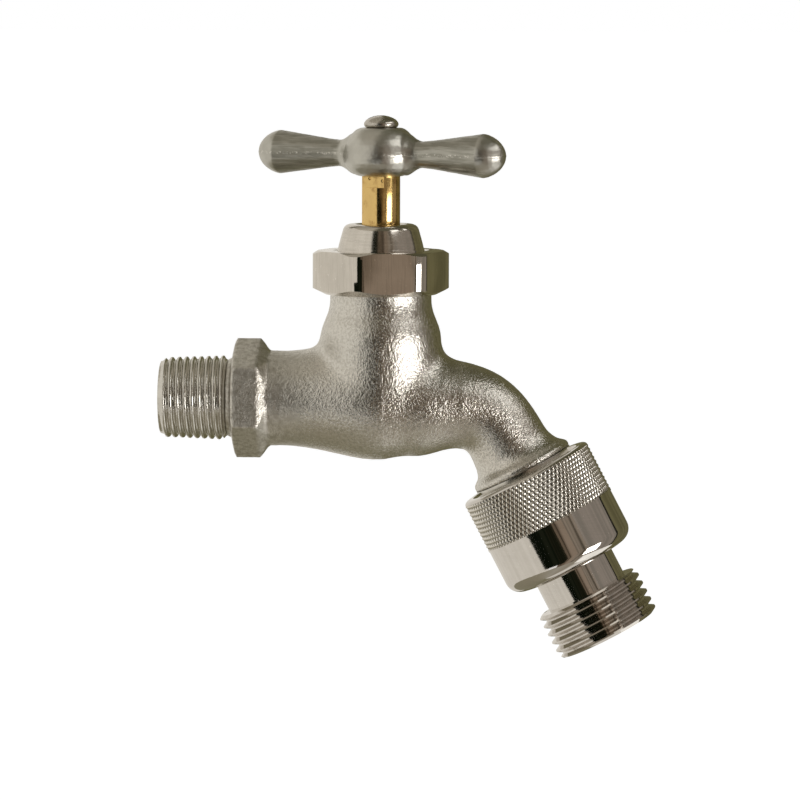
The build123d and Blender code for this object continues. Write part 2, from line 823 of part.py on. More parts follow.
def vent_seal():
    """Rubber ring that closes on the vents while water runs."""
    outer = spigot_bore_diameter - 2 * sliding_gap
    bottom = vent_seal_top + vent_seal_thickness
    return breaker * tube(outer, upper_ring_bore, vent_seal_top, bottom)


def upper_spring():
    """Spring between the first check's disc and the second check's seat."""
    mean = upper_spring_diameter - upper_wire
    return breaker * coil(mean, upper_wire, upper_disc_bottom, spring_seat, upper_spring_turns)


def check_seat():
    """Flanged sleeve in the neck: the second check closes on its end."""
    flange = post(check_seat_flange_diameter, spring_seat, cup_floor)
    sleeve = post(check_bore_diameter - 2 * running_gap, cup_floor, check_seat_end)
    return breaker * (flange + sleeve - post(check_seat_bore, spring_seat - 1, check_seat_end + 1))


def lower_poppet():
    """Second check: disc with a guide stem below it and a nub above it."""
    disc = post(lower_disc_diameter, lower_disc_top, lower_disc_bottom)
    nub = post(nub_diameter, check_seat_end - 0.6, lower_disc_top)
    pin = post(lower_stem_diameter, lower_disc_bottom, check_shelf)
    return breaker * (disc + nub + pin)


def lower_poppet_seal():
    """Rubber face of the second check."""
    hole = nub_diameter + 2 * running_gap
    return breaker * tube(lower_disc_diameter, hole, check_seat_end, lower_disc_top)


def lower_spring():
    """Spring between the second check's disc and its guide."""
    mean = lower_spring_diameter - lower_wire
    return breaker * coil(mean, lower_wire, lower_disc_bottom, guide_top, lower_spring_turns)


def lower_guide():
    """Spider on the shelf in the outlet, round the second check's stem."""
    outer = check_bore_diameter - 2 * running_gap
    rim = tube(outer, outer - 2 * guide_rim, guide_top, check_shelf)
    hub = post(guide_hub_diameter, guide_top, check_shelf)
    arm = Pos(guide_hub_diameter / 2 - 0.5, 0, guide_top) * Box(
        outer / 2 - guide_hub_diameter / 2,
        guide_arm_width,
        guide_thickness,
        align=(Align.MIN, Align.CENTER, Align.MIN),
    )
    arms = PolarLocations(0, guide_arms) * arm
    hole = post(lower_stem_diameter + 2 * running_gap, guide_top - 1, check_shelf + 1)
    return breaker * (rim + hub + arms - hole)


pieces = [
    valve_body,
    bonnet_nut,
    bonnet_gasket,
    bonnet,
    stem,
    stem_o_ring,
    washer_holder,
    seat_washer,
    seat_washer_screw,
    handle,
    handle_screw,
    breaker_collar,
    locking_screw,
    spout_washer,
    breaker_outlet,
    breaker_o_ring,
    upper_poppet,
    upper_poppet_seal,
    vent_seal,
    upper_spring,
    check_seat,
    lower_poppet,
    lower_poppet_seal,
    lower_spring,
    lower_guide,
]

os.makedirs("parts", exist_ok=True)
for piece in pieces:
    solid = piece()
    export_step(solid, f"parts/{piece.__name__}.step")
    print(piece.__name__, round(solid.volume, 1), len(solid.solids()))
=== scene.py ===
import math

import bmesh
import bpy
from mathutils import Matrix, Vector


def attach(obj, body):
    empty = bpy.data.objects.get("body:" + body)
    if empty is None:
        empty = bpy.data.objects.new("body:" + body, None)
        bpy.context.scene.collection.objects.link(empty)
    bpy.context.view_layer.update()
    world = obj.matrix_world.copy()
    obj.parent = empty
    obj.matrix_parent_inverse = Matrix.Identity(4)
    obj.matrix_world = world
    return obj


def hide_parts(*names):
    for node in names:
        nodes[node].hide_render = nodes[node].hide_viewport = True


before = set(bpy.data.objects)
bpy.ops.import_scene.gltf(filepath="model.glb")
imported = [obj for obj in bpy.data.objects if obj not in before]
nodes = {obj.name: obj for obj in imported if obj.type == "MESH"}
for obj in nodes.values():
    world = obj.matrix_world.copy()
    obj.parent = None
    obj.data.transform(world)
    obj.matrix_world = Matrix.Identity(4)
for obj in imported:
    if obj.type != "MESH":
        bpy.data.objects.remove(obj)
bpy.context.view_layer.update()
MM = 0.001
UP = Vector((0, 0, 1))
ALONG = Vector((1, 0, 0))
ORIGIN = Vector((0, 0, 0))

# Camera, at the photograph's viewing angle
PICTURE_WIDTH = 800
PIXELS_PER_MM = 4.05
CAMERA_AZIMUTH = math.radians(4.0)
CAMERA_ELEVATION = math.radians(5.0)
CAMERA_ROLL = math.radians(0.15)
CAMERA_DISTANCE = 1.3
SENSOR_WIDTH = 36.0
NEAREST_SEEN = 0.05
FARTHEST_SEEN = 60
VIEW_CENTRE = Vector((59.3, 0, -0.25)) * MM

# The room round the tap: its sizes in metres, then its light and its darkest colours
ROOM_BOTTOM = -0.75
ROOM_TOP = 0.9
LID_RADIUS = 1.05
FLAG_FOOT = -0.44
FLOOR_HEIGHT = -0.17
FLOOR_WIDTH = 30
ROOM_LEVEL = 0.5
FLOOR_GLOW = 0.6
LAMP_COLOUR = (1.0, 0.985, 0.96)
FLAG_BLACK = (0.004, 0.006, 0.003, 1)
FLAG_GREY = (0.012, 0.014, 0.008, 1)

# Where things are on the tap, in metres and radians
STEM_AXIS = Vector((54.5, 0, 0)) * MM
BREAKER_TILT = math.radians(27.6)
BREAKER_TOP = Vector((90.2, 0, -17.8)) * MM
BREAKER_DOWN = Vector((math.sin(BREAKER_TILT), 0, -math.cos(BREAKER_TILT)))
BREAKER_ACROSS = Vector((math.cos(BREAKER_TILT), 0, math.sin(BREAKER_TILT)))
BREAKER_FRAME = Matrix.Translation(BREAKER_TOP) @ Matrix((
    BREAKER_ACROSS, BREAKER_DOWN.cross(BREAKER_ACROSS), BREAKER_DOWN
)).transposed().to_4x4()
HANDLE_TURN = math.radians(-22.0)
ARM_WAY = Vector((math.cos(HANDLE_TURN), math.sin(HANDLE_TURN), 0))
SEAM_HEIGHT = 60.5 * MM
NUT_TURN = math.radians(11.0)
HEXAGON_ROLL = math.radians(-5.0)
INLET_CUT = 16.65 * MM
CASTING_START = 26.7 * MM
SPOUT_CUT = -0.95 * MM
KNURL_FOOT = 16.55 * MM
# Radius above which the knurl's diamonds are rubbed smooth and free of the painted groove shade
KNURL_RUBBED_UNSHADED = 16.74 * MM
QUARTER_TURN = math.radians(90)

# How near two points are one point, and how little an edge that counts as level rises, in metres
TOUCHING = 1e-6
LEVEL = 1e-7

# Plate colours that more than one finish has
RUBBED_NICKEL = (0.74, 0.72, 0.67, 1)
POLISHED_NICKEL = (0.70, 0.66, 0.60, 1)


# Shader arithmetic

class Field:
    """A socket of a node tree, with arithmetic on the number it carries."""

    def __init__(self, tree, socket=None):
        self.tree = tree
        self.socket = socket

    def node(self, kind, settings, sockets, outlet=0):
        """Adds a node: its settings first, then the values or links of its sockets."""
        made = self.tree.nodes.new(kind)
        for name, value in settings.items():
            if name == "stops":
                for number, (place, colour) in enumerate(value):
                    elements = made.color_ramp.elements
                    element = elements[number] if number < 2 else elements.new(place)
                    element.position = place
                    element.color = colour
            else:
                setattr(made, name, value)
        for name, value in sockets.items():
            if isinstance(value, Field):
                self.tree.links.new(value.socket, made.inputs[name])
            else:
                made.inputs[name].default_value = value
        return Field(self.tree, made.outputs[outlet])

    def math(self, operation, *values):
        return self.node("ShaderNodeMath", {"operation": operation}, dict(enumerate(values)))

    def __add__(self, other):
        return self.math("ADD", self, other)

    def __radd__(self, other):
        return self.math("ADD", other, self)

    def __sub__(self, other):
        return self.math("SUBTRACT", self, other)

    def __rsub__(self, other):
        return self.math("SUBTRACT", other, self)

    def __mul__(self, other):
        return self.math("MULTIPLY", self, other)

    def __rmul__(self, other):
        return self.math("MULTIPLY", other, self)

    def without_sign(self):
        return self.math("ABSOLUTE", self)

    def part(self, number):
        """One coordinate of a place: 0 along the inlet, 1 in depth, 2 upwards."""
        return self.node("ShaderNodeSeparateXYZ", {}, {0: self}, number)

    def between(self, low, high):
        """0 below low, 1 above high, smooth in between."""
        ramp = {"interpolation_type": "SMOOTHSTEP"}
        return self.node("ShaderNodeMapRange", ramp, {"Value": self, "From Min": low, "From Max": high})

    def blend(self, first, second):
        """First colour where this is 0, second where it is 1."""
        return self.node("ShaderNodeMix", {"data_type": "RGBA"}, {0: self, 6: first, 7: second}, 2)


def grey(level):
    return (level, level, level, 1)


def darker(colour, share):
    return tuple(share * part for part in colour[:3]) + (1,)


# Camera, light and floor

def make_camera():
    """A long lens that looks a little down from the front."""
    camera = bpy.data.objects.new("camera", bpy.data.cameras.new("camera"))
    bpy.context.scene.collection.objects.link(camera)
    level = math.cos(CAMERA_ELEVATION)
    back = Vector((
        math.sin(CAMERA_AZIMUTH) * level,
        -math.cos(CAMERA_AZIMUTH) * level,
        math.sin(CAMERA_ELEVATION),
    ))
    turn = (-back).to_track_quat("-Z", "Y").to_matrix().to_4x4() @ Matrix.Rotation(CAMERA_ROLL, 4, "Z")
    camera.matrix_world = Matrix.Translation(VIEW_CENTRE + back * CAMERA_DISTANCE) @ turn
    camera.data.sensor_width = SENSOR_WIDTH
    camera.data.lens = SENSOR_WIDTH * CAMERA_DISTANCE / (PICTURE_WIDTH / PIXELS_PER_MM * MM)
    camera.data.clip_start = NEAREST_SEEN
    camera.data.clip_end = FARTHEST_SEEN
    bpy.context.scene.camera = camera


def seen_or_mirrored(field):
    """1 for what the camera sees, straight, mirrored or through something, and 0 for plain light."""
    camera = field.node("ShaderNodeLightPath", {}, {}, "Is Camera Ray")
    mirrored = field.node("ShaderNodeLightPath", {}, {}, "Is Glossy Ray")
    through = field.node("ShaderNodeLightPath", {}, {}, "Is Transmission Ray")
    either = camera + mirrored
    return either.math("MAXIMUM", either, through)


def make_world():
    """White wherever it is seen or mirrored, and a plain soft level as light."""
    world = bpy.data.worlds.new("studio")
    bpy.context.scene.world = world
    world.use_nodes = True
    tree = world.node_tree
    strength = ROOM_LEVEL + seen_or_mirrored(Field(tree)) * (1 - ROOM_LEVEL)
    background = tree.nodes["Background"]
    background.inputs["Color"].default_value = grey(1.0)
    tree.links.new(strength.socket, background.inputs["Strength"])


def bare_material(piece, name):
    """A material with nothing but its output, on a piece of the stage."""
    material = bpy.data.materials.new(name)
    material.use_nodes = True
    tree = material.node_tree
    tree.nodes.remove(tree.nodes["Principled BSDF"])
    piece.data.materials.append(material)
    return Field(tree)


def shine_with(light):
    """Makes a shader the surface of its material."""
    outlet = light.tree.nodes["Material Output"]
    light.tree.links.new(light.socket, outlet.inputs["Surface"])


def make_floor():
    """A pale floor well below the tap. It shows white and keeps the shadow."""
    clear_selection()
    bpy.ops.mesh.primitive_plane_add(size=FLOOR_WIDTH, location=(0, 0, FLOOR_HEIGHT))
    floor = bpy.context.object
    floor.name = "floor"
    settle(floor)
    field = bare_material(floor, "pale_floor")
    strength = seen_or_mirrored(field) * FLOOR_GLOW
    matt = field.node("ShaderNodeBsdfDiffuse", {}, {"Color": grey(0.82)})
    glow = field.node("ShaderNodeEmission", {}, {"Color": grey(1.0), "Strength": strength})
    shine_with(field.node("ShaderNodeAddShader", {}, {0: matt, 1: glow}))
    floor.visible_glossy = False


def place_on(card):
    """The place that a card's shading reads, in a new material of its own."""
    return bare_material(card, card.name).node("ShaderNodeTexCoord", {}, {}, "Object")


def as_card(card, shade):
    """Makes a stage piece glow in one shade, seen in metal only."""
    shine_with(shade.node("ShaderNodeEmission", {}, {"Color": shade, "Strength": 1.0}))
    card.visible_camera = False
    card.visible_diffuse = False
    card.visible_shadow = False


def make_card(name, start, end, bottom, top, first, second, radius=1.0):
    """A curved card that metal mirrors, between two directions as seen from the tap.

    Directions are in degrees, 0 towards the camera and positive to its right.
    """
    clear_selection()
    bpy.ops.mesh.primitive_cylinder_add(
        vertices=360, radius=radius, depth=top - bottom, end_fill_type="NOTHING",
        location=(STEM_AXIS.x, 0, (bottom + top) / 2),
    )
    card = bpy.context.object
    card.name = name
    settle(card)

    def outside(place, normal):
        away = math.degrees(math.atan2(place.x - STEM_AXIS.x, -place.y) - CAMERA_AZIMUTH)
        return not start <= (away + 180) % 360 - 180 <= end

    start_edit(card)
    pick(card, "FACE", outside)
    bpy.ops.mesh.delete(type="FACE")
    end_edit()
    place = place_on(card)
    upright = place.node("ShaderNodeMapping", {}, {"Vector": place, "Scale": (1, 1, 0.12)})
    bands = place.node("ShaderNodeTexNoise", {}, {"Vector": upright, "Scale": 9.0, "Detail": 3.0})
    as_card(card, bands.between(0.38, 0.62).blend(first, second))


def make_lid(name, height, stops):
    """A round card above or below the tap, shaded by direction from the left round to the right."""
    clear_selection()
    bpy.ops.mesh.primitive_circle_add(
        vertices=90, radius=LID_RADIUS, fill_type="NGON", location=(STEM_AXIS.x, 0, height)
    )
    lid = bpy.context.object
    lid.name = name
    settle(lid)
    place = place_on(lid)
    away = place.math("ARCTAN2", place.part(0) - STEM_AXIS.x, place.part(1) * -1)
    share = (away - CAMERA_AZIMUTH) * (1 / (2 * math.pi)) + 0.5
    as_card(lid, share.node("ShaderNodeValToRGB", {"stops": stops}, {0: share}))


def make_lamp(name, azimuth, elevation, distance, width, height, radiance):
    """A soft box that faces the tap. Its directions are in degrees, as a card's are."""
    light = bpy.data.lights.new(name, "AREA")
    light.shape = "RECTANGLE"
    light.size = width
    light.size_y = height
    light.energy = radiance * math.pi * width * height
    light.color = LAMP_COLOUR
    lamp = bpy.data.objects.new(name, light)
    bpy.context.scene.collection.objects.link(lamp)
    turn = math.radians(azimuth) + CAMERA_AZIMUTH
    rise = math.radians(elevation)
    way = Vector((math.sin(turn) * math.cos(rise), -math.cos(turn) * math.cos(rise), math.sin(rise)))
    facing = way.to_track_quat("Z", "Y").to_matrix().to_4x4()
    lamp.matrix_world = Matrix.Translation(STEM_AXIS + way * distance) @ facing
    lamp.visible_camera = False


def make_studio():
    """Cards and soft boxes round the tap, as for a plain product picture."""
    low, high = ROOM_BOTTOM, ROOM_TOP
    make_card("left_card", -180, -27, low, high, (0.79, 0.755, 0.69, 1), (0.73, 0.695, 0.63, 1))
    make_card("black_flag", -27, -9, FLAG_FOOT, high, FLAG_BLACK, FLAG_GREY)
    make_card("front_flag", -9, 4, FLAG_FOOT, 0.2, FLAG_BLACK, (0.02, 0.018, 0.01, 1), radius=0.98)
    make_card("low_flag", -44, -26, FLAG_FOOT, -0.17, FLAG_BLACK, FLAG_GREY, radius=0.97)
    make_card("dark_room", -9, 9, low, high, (0.05, 0.038, 0.025, 1), (0.18, 0.135, 0.095, 1))
    make_card("room_card", 9, 20, low, high, (0.19, 0.145, 0.105, 1), (0.30, 0.235, 0.18, 1))
    make_card("striped_card", 20, 38, low, high, (0.09, 0.075, 0.055, 1), (0.30, 0.25, 0.20, 1))
    make_card("rose_card", 38, 104, low, high, (0.24, 0.215, 0.185, 1), (0.31, 0.27, 0.235, 1))
    make_card("dark_line", 104, 109, low, high, (0.01, 0.01, 0.008, 1), (0.02, 0.02, 0.014, 1))
    make_card("olive_card", 109, 180, low, high, (0.12, 0.11, 0.055, 1), (0.17, 0.155, 0.08, 1))
    make_card(
        "low_card", 45, 118, -0.72, -0.30, (1.3, 1.27, 1.22, 1), (1.1, 1.08, 1.03, 1), radius=0.6
    )
    make_card(
        "high_card", 36, 100, 0.53, 0.84, (2.4, 2.34, 2.25, 1), (2.0, 1.96, 1.9, 1), radius=0.7
    )
    make_lid(
        "ground_card", low,
        [
            (0.0, (0.26, 0.24, 0.17, 1)), (0.35, (0.30, 0.27, 0.20, 1)), (0.5, (0.40, 0.37, 0.31, 1)),
            (0.62, (0.32, 0.28, 0.22, 1)), (0.70, (0.80, 0.77, 0.72, 1)), (0.82, (0.80, 0.77, 0.72, 1)),
            (0.9, (0.24, 0.22, 0.15, 1)),
        ],
    )
    make_lid(
        "ceiling_card", high,
        [
            (0.0, (0.40, 0.37, 0.31, 1)), (0.40, (0.48, 0.44, 0.37, 1)), (0.46, (0.10, 0.09, 0.06, 1)),
            (0.7, (0.12, 0.11, 0.07, 1)), (0.95, (0.10, 0.095, 0.055, 1)),
        ],
    )
    make_lamp("key_box", 52, -6, distance=0.8, width=0.40, height=0.355, radiance=6.0)
    make_lamp("top_box", 20, 75, distance=1.1, width=0.5, height=0.5, radiance=1.2)


# Modelling by hand

def clear_selection():
    """Leaves nothing selected, so that an operator works on the new piece alone."""
    bpy.ops.object.select_all(action="DESELECT")


def activate(piece):
    clear_selection()
    bpy.context.view_layer.objects.active = piece
    piece.select_set(True)


def settle(piece):
    """Puts a piece's place into its mesh, with the object at the origin."""
    activate(piece)
    bpy.ops.object.transform_apply(location=True, rotation=True, scale=True)


def start_edit(piece):
    activate(piece)
    bpy.ops.object.mode_set(mode="EDIT")
    bpy.ops.mesh.select_all(action="DESELECT")


def end_edit():
    bpy.ops.object.mode_set(mode="OBJECT")


def pick(piece, kind, test):
    """Selects the vertices, edges or faces whose place and direction pass the test."""
    bpy.ops.mesh.select_mode(type=kind)
    bpy.ops.mesh.select_all(action="DESELECT")
    mesh = bmesh.from_edit_mesh(piece.data)
    if kind == "VERT":
        for vertex in mesh.verts:
            vertex.select_set(test(vertex.co, vertex.normal))
    elif kind == "EDGE":
        for edge in mesh.edges:
            first, second = (vertex.co for vertex in edge.verts)
            edge.select_set(test((first + second) / 2, second - first))
    else:
        for face in mesh.faces:
            face.select_set(test(face.calc_center_median(), face.normal))
    mesh.select_flush_mode()
    bmesh.update_edit_mesh(piece.data)


def weld(piece, distance=TOUCHING):
    """Merges doubles and turns all faces outwards."""
    start_edit(piece)
    bpy.ops.mesh.select_all(action="SELECT")
    bpy.ops.mesh.remove_doubles(threshold=distance)
    bpy.ops.mesh.normals_make_consistent(inside=False)
    end_edit()


def modify(piece, kind, **settings):
    """Adds a modifier and applies it."""
    activate(piece)
    modifier = piece.modifiers.new(kind.lower(), kind)
    for name, value in settings.items():
        setattr(modifier, name, value)
    bpy.ops.object.modifier_apply(modifier=modifier.name)


def smooth(piece, degrees):
    """Shades a piece smooth, apart from edges sharper than this."""
    activate(piece)
    bpy.ops.object.shade_smooth_by_angle(angle=math.radians(degrees))


def smooth_all_over(piece):
    activate(piece)
    bpy.ops.object.shade_smooth()


def ease_edges(piece, width, degrees, segments=2):
    """Bevels the edges sharper than this, by a width in mm."""
    modify(
        piece, "BEVEL", width=width * MM, segments=segments, limit_method="ANGLE",
        angle_limit=math.radians(degrees),
    )


def melt_together(piece, voxel, rounds):
    """Makes one skin of all that a piece is joined from, on voxels in mm, and softens it."""
    modify(piece, "REMESH", mode="VOXEL", voxel_size=voxel * MM)
    modify(piece, "SMOOTH", factor=0.5, iterations=rounds)


def soften_where(piece, rounds, test):
    """Smooths only the points that pass the test."""
    start_edit(piece)
    pick(piece, "VERT", test)
    bpy.ops.object.vertex_group_add()
    bpy.ops.object.vertex_group_assign()
    end_edit()
    modify(piece, "SMOOTH", factor=0.5, iterations=rounds, vertex_group=piece.vertex_groups[-1].name)


def roughen(piece, name, grain, depth):
    """Raises and sinks the skin in clouds, with their size and depth in mm."""
    clouds = bpy.data.textures.new(name, "CLOUDS")
    clouds.noise_scale = grain * MM
    modify(piece, "DISPLACE", texture=clouds, texture_coords="LOCAL", strength=depth * MM, mid_level=0.5)
    smooth_all_over(piece)


def join(piece, other):
    """Makes another mesh a part of this piece."""
    activate(piece)
    other.select_set(True)
    bpy.ops.object.join()


def lathe(name, outline, origin, axis, across, steps):
    """Turns a closed outline, given as (place along the axis, radius) in mm."""
    points = [origin + axis * (place * MM) + across * (radius * MM) for place, radius in outline]
    clear_selection()
    bpy.ops.mesh.primitive_plane_add(size=MM, location=points[0])
    piece = bpy.context.object
    piece.name = name
    settle(piece)
    start_edit(piece)
    bpy.ops.mesh.select_mode(type="VERT")
    bpy.ops.mesh.select_all(action="SELECT")
    bpy.ops.mesh.merge(type="CENTER")
    for before, after in zip(points, points[1:]):
        bpy.ops.mesh.extrude_vertices_move(TRANSFORM_OT_translate={"value": after - before})
    bpy.ops.mesh.select_all(action="SELECT")
    bpy.ops.mesh.spin(steps=steps, angle=2 * math.pi, center=origin, axis=axis)
    end_edit()
    weld(piece)
    return piece


def turn_on_inlet(name, outline, steps=96):
    """A turned shape on the inlet's axis, with places counted from its open end."""
    return lathe(name, outline, ORIGIN, ALONG, UP, steps)


def turn_on_stem(name, outline, steps=96):
    """A turned shape on the stem's axis, with heights counted from the inlet's axis."""
    return lathe(name, outline, STEM_AXIS, UP, ALONG, steps)


def turn_on_breaker(name, outline, steps):
    """A turned shape on the breaker's axis, with places counted down from its top."""
    return lathe(name, outline, BREAKER_TOP, BREAKER_DOWN, BREAKER_ACROSS, steps)


def on_stem(height):
    """The point of the stem's axis at a height in mm."""
    return STEM_AXIS + UP * height * MM


def level_way(degrees):
    """A level direction, 0 towards the front and positive to the right."""
    turn = math.radians(degrees)
    return Vector((math.sin(turn), -math.cos(turn), 0))


def add_block(place, turn, size):
    """A block with its size in mm, turned about the vertical."""
    clear_selection()
    bpy.ops.mesh.primitive_cube_add(
        size=1, location=place, rotation=(0, 0, turn), scale=[length * MM for length in size]
    )
    block = bpy.context.object
    settle(block)
    return block


def copy_of(node, name):
    """A merged copy of a CAD piece's mesh."""
    piece = bpy.data.objects.new(name, nodes[node].data.copy())
    bpy.context.scene.collection.objects.link(piece)
    piece.data.materials.clear()
    activate(piece)
    bpy.ops.mesh.customdata_custom_splitnormals_clear()
    start_edit(piece)
    bpy.ops.mesh.select_all(action="SELECT")
    bpy.ops.mesh.remove_doubles(threshold=TOUCHING)
    end_edit()
    return piece


def slice_off(piece, place, normal):
    """Cuts away what lies on the normal's side of a plane, and closes the cut."""
    start_edit(piece)
    bpy.ops.mesh.select_all(action="SELECT")
    bpy.ops.mesh.bisect(plane_co=place, plane_no=normal, use_fill=True, clear_outer=True)
    end_edit()


def cut(piece, tool):
    """Takes the tool's shape out of a piece."""
    modify(piece, "BOOLEAN", operation="DIFFERENCE", object=tool, solver="EXACT")
    bpy.data.objects.remove(tool)


def keep_inside(piece, tool):
    """Leaves only what lies in the tool's shape."""
    modify(piece, "BOOLEAN", operation="INTERSECT", object=tool, solver="EXACT")
    bpy.data.objects.remove(tool)


def present(piece, body, finish, node):
    """Gives a finished piece its finish and its body, and hides the CAD piece it stands for."""
    piece.data.materials.clear()
    piece.data.materials.append(finishes[finish])
    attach(piece, body)
    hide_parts(node)


# Finishes

def new_finish(name, roughness, metallic=1.0):
    """An empty material, and the place on the piece that its pattern reads."""
    material = bpy.data.materials.new(name)
    material.use_nodes = True
    shader = material.node_tree.nodes["Principled BSDF"]
    shader.inputs["Metallic"].default_value = metallic
    shader.inputs["Roughness"].default_value = roughness
    place = Field(material.node_tree).node("ShaderNodeTexCoord", {}, {}, "Object")
    return material, place


def paint(material, **links):
    """Links fields to the shader's sockets, with _ for a space."""
    shader = material.node_tree.nodes["Principled BSDF"]
    for name, field in links.items():
        material.node_tree.links.new(field.socket, shader.inputs[name.replace("_", " ")])


def speckle(place, size, detail=2.0, stretch=(1, 1, 1), tilt=0.0):
    """Noise with features of one size in mm, drawn out or turned where asked."""
    spot = place
    if stretch != (1, 1, 1) or tilt:
        spot = place.node(
            "ShaderNodeMapping", {}, {"Vector": place, "Rotation": (0, tilt, 0), "Scale": stretch}
        )
    return place.node(
        "ShaderNodeTexNoise", {},
        {"Vector": spot, "Scale": 1 / (size * MM), "Detail": detail, "Roughness": 0.6},
    )


def bump(height, strength, depth):
    """Normals of a relief this deep in mm."""
    return height.node(
        "ShaderNodeBump", {}, {"Height": height, "Strength": strength, "Distance": depth * MM}
    )


def cast_nickel():
    """Nickel plate over a sand casting: grainy, and mottled and duller towards the inlet."""
    material, place = new_finish("rough_cast_nickel", 0.30)
    grain = speckle(place, 0.6)
    fine = speckle(place, 0.3)
    warmth = speckle(place, 9.0, 3.0).between(0.35, 0.7)
    tone = grain.between(0.36, 0.60).blend((0.60, 0.58, 0.535, 1), RUBBED_NICKEL)
    inlet = 1 - place.part(0).between(24 * MM, 44 * MM)
    mottle = speckle(place, 1.2).between(0.46, 0.62) * inlet
    warm = (warmth * 0.25).blend(tone, (0.62, 0.58, 0.51, 1))
    paint(
        material,
        Base_Color=(mottle * 0.6).blend(warm, (0.40, 0.375, 0.32, 1)),
        Roughness=0.15 + fine * 0.14 + inlet * 0.17,
        Normal=bump(grain + fine * 0.3, 1.0, 0.14),
    )
    return material


def cut_nickel():
    """Nickel plate over a thread cut in the lathe."""
    material, place = new_finish("machined_nickel", 0.28)
    rings = speckle(place, 0.25, stretch=(1, 0.05, 0.05))
    patch = speckle(place, 3.0, 3.0).between(0.3, 0.7)
    paint(
        material,
        Base_Color=patch.blend((0.62, 0.60, 0.55, 1), RUBBED_NICKEL),
        Roughness=0.17 + rings * 0.14,
        Normal=bump(rings, 0.25, 0.03),
    )
    return material


def bright_nickel(name, tilt, stretch, base, dullness=0.03, marking=0.10, streak=0.88):
    """Polished nickel plate with faint tool marks drawn out along one way."""
    material, place = new_finish(name, 0.09)
    marks = speckle(place, 0.45, 3.0, stretch=stretch, tilt=tilt)
    haze = speckle(place, 4.0, 3.0).between(0.3, 0.7)
    specks = speckle(place, 0.5, 1.0).between(0.73, 0.76)
    tone = marks.between(0.35, 0.55).blend(darker(base, streak), haze.blend(base, darker(base, 0.93)))
    paint(
        material,
        Base_Color=specks.blend(tone, (0.9, 0.87, 0.8, 1)),
        Roughness=dullness + marks * 0.06,
        Normal=bump(marks, marking, 0.02),
    )
    return material


def knurled_nickel():
    """Nickel plate on the knurl: painted shade darkens the grooves, which are also duller, and the diamonds
    are lighter and rubbed smooth.
    """
    material, place = new_finish("knurled_nickel", 0.16)
    back = BREAKER_FRAME.inverted()
    turned = place.node(
        "ShaderNodeMapping", {},
        {"Vector": place, "Location": back.translation, "Rotation": back.to_euler(), "Scale": (1, 1, 1)},
    )
    radial = turned.node("ShaderNodeVectorMath", {"operation": "MULTIPLY"}, {0: turned, 1: (1, 1, 0)})
    out = radial.node("ShaderNodeVectorMath", {"operation": "LENGTH"}, {0: radial}, "Value")
    # Painted shade: below the crests the grooves get a near-black plate colour, and they are also rougher
    crest_unshaded = out.between(KNURL_FOOT, KNURL_RUBBED_UNSHADED)
    haze = speckle(place, 2.0, 3.0).between(0.3, 0.7)
    tone = haze.blend((0.86, 0.83, 0.77, 1), (0.78, 0.75, 0.69, 1))
    paint(
        material,
        Base_Color=crest_unshaded.blend((0.13, 0.12, 0.10, 1), tone),
        Roughness=0.34 - crest_unshaded * 0.18,
        Normal=bump(speckle(place, 0.3), 0.15, 0.02),
    )
    return material


def satin_alloy():
    """Die-cast handle, satin grey-green, with a rubbed seam, and arms darkened with painted shade and
    streaked.
    """
    material, place = new_finish("satin_alloy", 0.36)
    across, depth, height = (place.part(number) for number in range(3))
    grain = speckle(place, 0.6, 3.0)
    patch = speckle(place, 6.0, 3.0).between(0.3, 0.7)
    lines = speckle(place, 0.5, stretch=(0.08, 0.08, 1.0))
    off_seam = (height - SEAM_HEIGHT).without_sign()
    hub_left = across.between(45.5 * MM, 46.5 * MM) * (1 - across.between(53 * MM, 56 * MM))
    seam = (1 - off_seam.between(0.10 * MM, 0.5 * MM)) * (1 - hub_left * 0.8)
    rubbed = seam * grain.between(0.52, 0.62)
    reach = (across - STEM_AXIS.x) * ARM_WAY.x + depth * ARM_WAY.y
    out = reach.without_sign()
    # Painted shade: the arms from the hub out to the round ends get a darker colour, broken by lighter
    # streaks
    arm = out.between(9.5 * MM, 11 * MM) * (1 - out.between(27.4 * MM, 28.1 * MM))
    arm_shade_and_streaks = arm * (1 - lines.between(0.40, 0.62) * 0.55)
    tone = patch.blend((0.50, 0.49, 0.445, 1), (0.60, 0.59, 0.54, 1))
    cast = (arm_shade_and_streaks * 0.75).blend(tone, (0.25, 0.245, 0.205, 1))
    paint(
        material,
        Base_Color=rubbed.blend(cast, RUBBED_NICKEL),
        Roughness=0.27 + grain * 0.14,
        Normal=bump(grain * 0.5 + lines * (0.3 + arm) + seam * grain, 0.6, 0.10),
    )
    return material


def bare_brass():
    """Yellow brass from the bar, drawn marks along it and a little tarnish."""
    material, place = new_finish("bare_brass", 0.16)
    marks = speckle(place, 0.4, stretch=(1, 1, 0.06))
    tarnish = speckle(place, 2.5, 3.0).between(0.45, 0.75)
    paint(
        material,
        Base_Color=tarnish.blend((0.80, 0.56, 0.22, 1), (0.52, 0.33, 0.12, 1)),
        Roughness=0.10 + marks * 0.16,
        Normal=bump(marks, 0.18, 0.03),
    )
    return material


def plain_steel():
    """Spring wire and screws."""
    material, place = new_finish("screw_steel", 0.24)
    marks = speckle(place, 0.3)
    paint(
        material,
        Base_Color=marks.between(0.35, 0.7).blend((0.50, 0.47, 0.42, 1), (0.62, 0.59, 0.54, 1)),
        Roughness=0.16 + marks * 0.16,
        Normal=bump(marks, 0.15, 0.02),
    )
    return material


def soft_finish(name, dark, light, roughness, size):
    """Rubber, fibre or moulded plastic with a fine grain."""
    material, place = new_finish(name, roughness, 0.0)
    grain = speckle(place, size, 3.0)
    paint(
        material,
        Base_Color=grain.between(0.35, 0.65).blend(dark, light),
        Roughness=roughness - 0.08 + grain * 0.16,
        Normal=bump(grain, 0.3, 0.03),
    )
    return material


